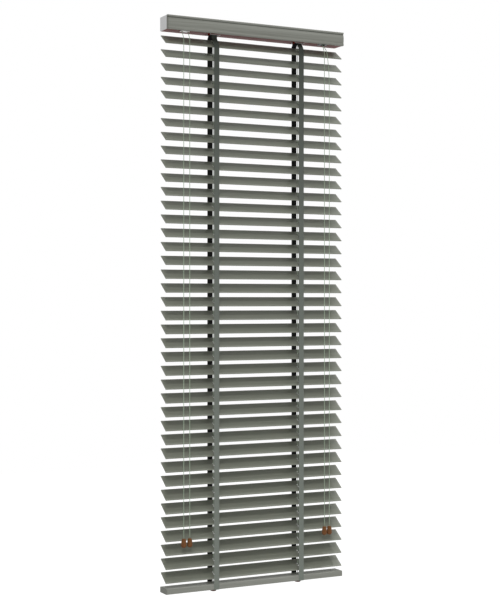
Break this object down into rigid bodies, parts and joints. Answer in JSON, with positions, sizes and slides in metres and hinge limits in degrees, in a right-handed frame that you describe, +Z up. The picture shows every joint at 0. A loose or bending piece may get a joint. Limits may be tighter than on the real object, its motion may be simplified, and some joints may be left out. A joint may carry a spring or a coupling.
{
  "type": "wooden venetian blind",
  "caption": "Window blind of grey stained wooden slats on woven ladder tapes, under a steel headrail with a moulded valance, with a cord tilter, a cord lock and turned tassels.",
  "frame": {"origin": "centre of the headrail's back face, the plane that faces the wall", "axes": "+Z up, +Y out of the back towards the wall, +X to the right seen from the room"},
  "size_m": [0.65, 0.0684, 1.8474],
  "materials": {
    "slat_wood": "grey-green stained, open grain",
    "headrail_paint": "satin maroon paint on rolled steel",
    "cap_plastic": "pale grey moulded",
    "white_plastic": "white moulded",
    "lock_plastic": "slate grey moulded",
    "rod_steel": "zinc plated",
    "tape_weave": "woven grey-green tape, dark inner face",
    "cord_braid": "braided pale grey-green",
    "tassel_wood": "turned, brown lacquer",
    "plug_wood": "turned, red-brown lacquer"
  },
  "bodies": {
    "headrail": {"headrail": "headrail_paint", "end_caps": "cap_plastic", "valance": "slat_wood", "cradles": "cap_plastic", "tilter_housing": "white_plastic", "cord_lock": "lock_plastic", "ladder_webbing": "tape_weave", "bottom_rail": "slat_wood", "cord_plugs": "plug_wood", "lift_cords": "cord_braid", "tilt_cord": "cord_braid", "lift_tassels": "tassel_wood"},
    "tilt_rod": {"tilt_rod": "rod_steel", "tilt_drums": "white_plastic", "tilter_gear": "cap_plastic"},
    "tilter_spool": {"tilter_spool": "white_plastic"},
    "front_tapes": {"front_tapes": "tape_weave"},
    "rear_tapes": {"rear_tapes": "tape_weave"},
    "tilt_tassel_a": {"tilt_tassel_a": "tassel_wood"},
    "tilt_tassel_b": {"tilt_tassel_b": "tassel_wood"},
    "slat_01": {"slat_01": "slat_wood"},
    "slat_02": {"slat_02": "slat_wood"},
    "slat_03": {"slat_03": "slat_wood"},
    "slat_04": {"slat_04": "slat_wood"},
    "slat_05": {"slat_05": "slat_wood"},
    "slat_06": {"slat_06": "slat_wood"},
    "slat_07": {"slat_07": "slat_wood"},
    "slat_08": {"slat_08": "slat_wood"},
    "slat_09": {"slat_09": "slat_wood"},
    "slat_10": {"slat_10": "slat_wood"},
    "slat_11": {"slat_11": "slat_wood"},
    "slat_12": {"slat_12": "slat_wood"},
    "slat_13": {"slat_13": "slat_wood"},
    "slat_14": {"slat_14": "slat_wood"},
    "slat_15": {"slat_15": "slat_wood"},
    "slat_16": {"slat_16": "slat_wood"},
    "slat_17": {"slat_17": "slat_wood"},
    "slat_18": {"slat_18": "slat_wood"},
    "slat_19": {"slat_19": "slat_wood"},
    "slat_20": {"slat_20": "slat_wood"},
    "slat_21": {"slat_21": "slat_wood"},
    "slat_22": {"slat_22": "slat_wood"},
    "slat_23": {"slat_23": "slat_wood"},
    "slat_24": {"slat_24": "slat_wood"},
    "slat_25": {"slat_25": "slat_wood"},
    "slat_26": {"slat_26": "slat_wood"},
    "slat_27": {"slat_27": "slat_wood"},
    "slat_28": {"slat_28": "slat_wood"},
    "slat_29": {"slat_29": "slat_wood"},
    "slat_30": {"slat_30": "slat_wood"},
    "slat_31": {"slat_31": "slat_wood"},
    "slat_32": {"slat_32": "slat_wood"},
    "slat_33": {"slat_33": "slat_wood"},
    "slat_34": {"slat_34": "slat_wood"},
    "slat_35": {"slat_35": "slat_wood"},
    "slat_36": {"slat_36": "slat_wood"},
    "slat_37": {"slat_37": "slat_wood"},
    "slat_38": {"slat_38": "slat_wood"},
    "slat_39": {"slat_39": "slat_wood"},
    "slat_40": {"slat_40": "slat_wood"}
  },
  "joints": [
    {"name": "tilt", "type": "hinge", "parent": "headrail", "child": "tilt_rod", "pos_m": [0, -0.02, -0.002], "axis": [1, 0, 0], "range_deg": [-204, 60], "deforming": ["ladder_webbing", "tilt_cord"]},
    {"name": "slat_01_tilt", "type": "hinge", "parent": "headrail", "child": "slat_01", "pos_m": [0, -0.025, -0.051], "axis": [1, 0, 0], "range_deg": [-102.05, 30.05]},
    {"name": "slat_02_tilt", "type": "hinge", "parent": "headrail", "child": "slat_02", "pos_m": [0, -0.025, -0.095], "axis": [1, 0, 0], "range_deg": [-102.05, 30.05]},
    {"name": "slat_03_tilt", "type": "hinge", "parent": "headrail", "child": "slat_03", "pos_m": [0, -0.025, -0.139], "axis": [1, 0, 0], "range_deg": [-102.05, 30.05]},
    {"name": "slat_04_tilt", "type": "hinge", "parent": "headrail", "child": "slat_04", "pos_m": [0, -0.025, -0.183], "axis": [1, 0, 0], "range_deg": [-102.05, 30.05]},
    {"name": "slat_05_tilt", "type": "hinge", "parent": "headrail", "child": "slat_05", "pos_m": [0, -0.025, -0.227], "axis": [1, 0, 0], "range_deg": [-102.05, 30.05]},
    {"name": "slat_06_tilt", "type": "hinge", "parent": "headrail", "child": "slat_06", "pos_m": [0, -0.025, -0.271], "axis": [1, 0, 0], "range_deg": [-102.05, 30.05]},
    {"name": "slat_07_tilt", "type": "hinge", "parent": "headrail", "child": "slat_07", "pos_m": [0, -0.025, -0.315], "axis": [1, 0, 0], "range_deg": [-102.05, 30.05]},
    {"name": "slat_08_tilt", "type": "hinge", "parent": "headrail", "child": "slat_08", "pos_m": [0, -0.025, -0.359], "axis": [1, 0, 0], "range_deg": [-102.05, 30.05]},
    {"name": "slat_09_tilt", "type": "hinge", "parent": "headrail", "child": "slat_09", "pos_m": [0, -0.025, -0.403], "axis": [1, 0, 0], "range_deg": [-102.05, 30.05]},
    {"name": "slat_10_tilt", "type": "hinge", "parent": "headrail", "child": "slat_10", "pos_m": [0, -0.025, -0.447], "axis": [1, 0, 0], "range_deg": [-102.05, 30.05]},
    {"name": "slat_11_tilt", "type": "hinge", "parent": "headrail", "child": "slat_11", "pos_m": [0, -0.025, -0.491], "axis": [1, 0, 0], "range_deg": [-102.05, 30.05]},
    {"name": "slat_12_tilt", "type": "hinge", "parent": "headrail", "child": "slat_12", "pos_m": [0, -0.025, -0.535], "axis": [1, 0, 0], "range_deg": [-102.05, 30.05]},
    {"name": "slat_13_tilt", "type": "hinge", "parent": "headrail", "child": "slat_13", "pos_m": [0, -0.025, -0.579], "axis": [1, 0, 0], "range_deg": [-102.05, 30.05]},
    {"name": "slat_14_tilt", "type": "hinge", "parent": "headrail", "child": "slat_14", "pos_m": [0, -0.025, -0.623], "axis": [1, 0, 0], "range_deg": [-102.05, 30.05]},
    {"name": "slat_15_tilt", "type": "hinge", "parent": "headrail", "child": "slat_15", "pos_m": [0, -0.025, -0.667], "axis": [1, 0, 0], "range_deg": [-102.05, 30.05]},
    {"name": "slat_16_tilt", "type": "hinge", "parent": "headrail", "child": "slat_16", "pos_m": [0, -0.025, -0.711], "axis": [1, 0, 0], "range_deg": [-102.05, 30.05]},
    {"name": "slat_17_tilt", "type": "hinge", "parent": "headrail", "child": "slat_17", "pos_m": [0, -0.025, -0.755], "axis": [1, 0, 0], "range_deg": [-102.05, 30.05]},
    {"name": "slat_18_tilt", "type": "hinge", "parent": "headrail", "child": "slat_18", "pos_m": [0, -0.025, -0.799], "axis": [1, 0, 0], "range_deg": [-102.05, 30.05]},
    {"name": "slat_19_tilt", "type": "hinge", "parent": "headrail", "child": "slat_19", "pos_m": [0, -0.025, -0.843], "axis": [1, 0, 0], "range_deg": [-102.05, 30.05]},
    {"name": "slat_20_tilt", "type": "hinge", "parent": "headrail", "child": "slat_20", "pos_m": [0, -0.025, -0.887], "axis": [1, 0, 0], "range_deg": [-102.05, 30.05]},
    {"name": "slat_21_tilt", "type": "hinge", "parent": "headrail", "child": "slat_21", "pos_m": [0, -0.025, -0.931], "axis": [1, 0, 0], "range_deg": [-102.05, 30.05]},
    {"name": "slat_22_tilt", "type": "hinge", "parent": "headrail", "child": "slat_22", "pos_m": [0, -0.025, -0.975], "axis": [1, 0, 0], "range_deg": [-102.05, 30.05]},
    {"name": "slat_23_tilt", "type": "hinge", "parent": "headrail", "child": "slat_23", "pos_m": [0, -0.025, -1.019], "axis": [1, 0, 0], "range_deg": [-102.05, 30.05]},
    {"name": "slat_24_tilt", "type": "hinge", "parent": "headrail", "child": "slat_24", "pos_m": [0, -0.025, -1.063], "axis": [1, 0, 0], "range_deg": [-102.05, 30.05]},
    {"name": "slat_25_tilt", "type": "hinge", "parent": "headrail", "child": "slat_25", "pos_m": [0, -0.025, -1.107], "axis": [1, 0, 0], "range_deg": [-102.05, 30.05]},
    {"name": "slat_26_tilt", "type": "hinge", "parent": "headrail", "child": "slat_26", "pos_m": [0, -0.025, -1.151], "axis": [1, 0, 0], "range_deg": [-102.05, 30.05]},
    {"name": "slat_27_tilt", "type": "hinge", "parent": "headrail", "child": "slat_27", "pos_m": [0, -0.025, -1.195], "axis": [1, 0, 0], "range_deg": [-102.05, 30.05]},
    {"name": "slat_28_tilt", "type": "hinge", "parent": "headrail", "child": "slat_28", "pos_m": [0, -0.025, -1.239], "axis": [1, 0, 0], "range_deg": [-102.05, 30.05]},
    {"name": "slat_29_tilt", "type": "hinge", "parent": "headrail", "child": "slat_29", "pos_m": [0, -0.025, -1.283], "axis": [1, 0, 0], "range_deg": [-102.05, 30.05]},
    {"name": "slat_30_tilt", "type": "hinge", "parent": "headrail", "child": "slat_30", "pos_m": [0, -0.025, -1.327], "axis": [1, 0, 0], "range_deg": [-102.05, 30.05]},
    {"name": "slat_31_tilt", "type": "hinge", "parent": "headrail", "child": "slat_31", "pos_m": [0, -0.025, -1.371], "axis": [1, 0, 0], "range_deg": [-102.05, 30.05]},
    {"name": "slat_32_tilt", "type": "hinge", "parent": "headrail", "child": "slat_32", "pos_m": [0, -0.025, -1.415], "axis": [1, 0, 0], "range_deg": [-102.05, 30.05]},
    {"name": "slat_33_tilt", "type": "hinge", "parent": "headrail", "child": "slat_33", "pos_m": [0, -0.025, -1.459], "axis": [1, 0, 0], "range_deg": [-102.05, 30.05]},
    {"name": "slat_34_tilt", "type": "hinge", "parent": "headrail", "child": "slat_34", "pos_m": [0, -0.025, -1.503], "axis": [1, 0, 0], "range_deg": [-102.05, 30.05]},
    {"name": "slat_35_tilt", "type": "hinge", "parent": "headrail", "child": "slat_35", "pos_m": [0, -0.025, -1.547], "axis": [1, 0, 0], "range_deg": [-102.05, 30.05]},
    {"name": "slat_36_tilt", "type": "hinge", "parent": "headrail", "child": "slat_36", "pos_m": [0, -0.025, -1.591], "axis": [1, 0, 0], "range_deg": [-102.05, 30.05]},
    {"name": "slat_37_tilt", "type": "hinge", "parent": "headrail", "child": "slat_37", "pos_m": [0, -0.025, -1.635], "axis": [1, 0, 0], "range_deg": [-102.05, 30.05]},
    {"name": "slat_38_tilt", "type": "hinge", "parent": "headrail", "child": "slat_38", "pos_m": [0, -0.025, -1.679], "axis": [1, 0, 0], "range_deg": [-102.05, 30.05]},
    {"name": "slat_39_tilt", "type": "hinge", "parent": "headrail", "child": "slat_39", "pos_m": [0, -0.025, -1.723], "axis": [1, 0, 0], "range_deg": [-102.05, 30.05]},
    {"name": "slat_40_tilt", "type": "hinge", "parent": "headrail", "child": "slat_40", "pos_m": [0, -0.025, -1.767], "axis": [1, 0, 0], "range_deg": [-102.05, 30.05]},
    {"name": "front_tapes_shift", "type": "hinge", "parent": "slat_01", "child": "front_tapes", "pos_m": [0, -0.04887, -0.06834], "axis": [1, 0, 0], "range_deg": [-30.05, 102.05]},
    {"name": "rear_tapes_shift", "type": "hinge", "parent": "slat_01", "child": "rear_tapes", "pos_m": [0, -0.00113, -0.03366], "axis": [1, 0, 0], "range_deg": [-30.05, 102.05]},
    {"name": "spool_turn", "type": "hinge", "parent": "headrail", "child": "tilter_spool", "pos_m": [-0.2585, -0.046, 0.0085], "axis": [0, 1, 0], "range_deg": [-1224.05, 360.05]},
    {"name": "tilt_tassel_a_pull", "type": "slide", "parent": "headrail", "child": "tilt_tassel_a", "axis": [0, 0, 1], "range_m": [-0.22451, 0.06617]},
    {"name": "tilt_tassel_b_pull", "type": "slide", "parent": "headrail", "child": "tilt_tassel_b", "axis": [0, 0, 1], "range_m": [-0.06617, 0.22451]}
  ],
  "couplings": [
    {"joint": "slat_01_tilt", "follows": "tilt", "ratio": 0.5},
    {"joint": "slat_02_tilt", "follows": "tilt", "ratio": 0.5},
    {"joint": "slat_03_tilt", "follows": "tilt", "ratio": 0.5},
    {"joint": "slat_04_tilt", "follows": "tilt", "ratio": 0.5},
    {"joint": "slat_05_tilt", "follows": "tilt", "ratio": 0.5},
    {"joint": "slat_06_tilt", "follows": "tilt", "ratio": 0.5},
    {"joint": "slat_07_tilt", "follows": "tilt", "ratio": 0.5},
    {"joint": "slat_08_tilt", "follows": "tilt", "ratio": 0.5},
    {"joint": "slat_09_tilt", "follows": "tilt", "ratio": 0.5},
    {"joint": "slat_10_tilt", "follows": "tilt", "ratio": 0.5},
    {"joint": "slat_11_tilt", "follows": "tilt", "ratio": 0.5},
    {"joint": "slat_12_tilt", "follows": "tilt", "ratio": 0.5},
    {"joint": "slat_13_tilt", "follows": "tilt", "ratio": 0.5},
    {"joint": "slat_14_tilt", "follows": "tilt", "ratio": 0.5},
    {"joint": "slat_15_tilt", "follows": "tilt", "ratio": 0.5},
    {"joint": "slat_16_tilt", "follows": "tilt", "ratio": 0.5},
    {"joint": "slat_17_tilt", "follows": "tilt", "ratio": 0.5},
    {"joint": "slat_18_tilt", "follows": "tilt", "ratio": 0.5},
    {"joint": "slat_19_tilt", "follows": "tilt", "ratio": 0.5},
    {"joint": "slat_20_tilt", "follows": "tilt", "ratio": 0.5},
    {"joint": "slat_21_tilt", "follows": "tilt", "ratio": 0.5},
    {"joint": "slat_22_tilt", "follows": "tilt", "ratio": 0.5},
    {"joint": "slat_23_tilt", "follows": "tilt", "ratio": 0.5},
    {"joint": "slat_24_tilt", "follows": "tilt", "ratio": 0.5},
    {"joint": "slat_25_tilt", "follows": "tilt", "ratio": 0.5},
    {"joint": "slat_26_tilt", "follows": "tilt", "ratio": 0.5},
    {"joint": "slat_27_tilt", "follows": "tilt", "ratio": 0.5},
    {"joint": "slat_28_tilt", "follows": "tilt", "ratio": 0.5},
    {"joint": "slat_29_tilt", "follows": "tilt", "ratio": 0.5},
    {"joint": "slat_30_tilt", "follows": "tilt", "ratio": 0.5},
    {"joint": "slat_31_tilt", "follows": "tilt", "ratio": 0.5},
    {"joint": "slat_32_tilt", "follows": "tilt", "ratio": 0.5},
    {"joint": "slat_33_tilt", "follows": "tilt", "ratio": 0.5},
    {"joint": "slat_34_tilt", "follows": "tilt", "ratio": 0.5},
    {"joint": "slat_35_tilt", "follows": "tilt", "ratio": 0.5},
    {"joint": "slat_36_tilt", "follows": "tilt", "ratio": 0.5},
    {"joint": "slat_37_tilt", "follows": "tilt", "ratio": 0.5},
    {"joint": "slat_38_tilt", "follows": "tilt", "ratio": 0.5},
    {"joint": "slat_39_tilt", "follows": "tilt", "ratio": 0.5},
    {"joint": "slat_40_tilt", "follows": "tilt", "ratio": 0.5},
    {"joint": "front_tapes_shift", "follows": "tilt", "ratio": -0.5},
    {"joint": "rear_tapes_shift", "follows": "tilt", "ratio": -0.5},
    {"joint": "spool_turn", "follows": "tilt", "ratio": 6},
    {"joint": "tilt_tassel_a_pull", "follows": "tilt", "m_per_rad": 0.063},
    {"joint": "tilt_tassel_b_pull", "follows": "tilt", "m_per_rad": -0.063}
  ]
}
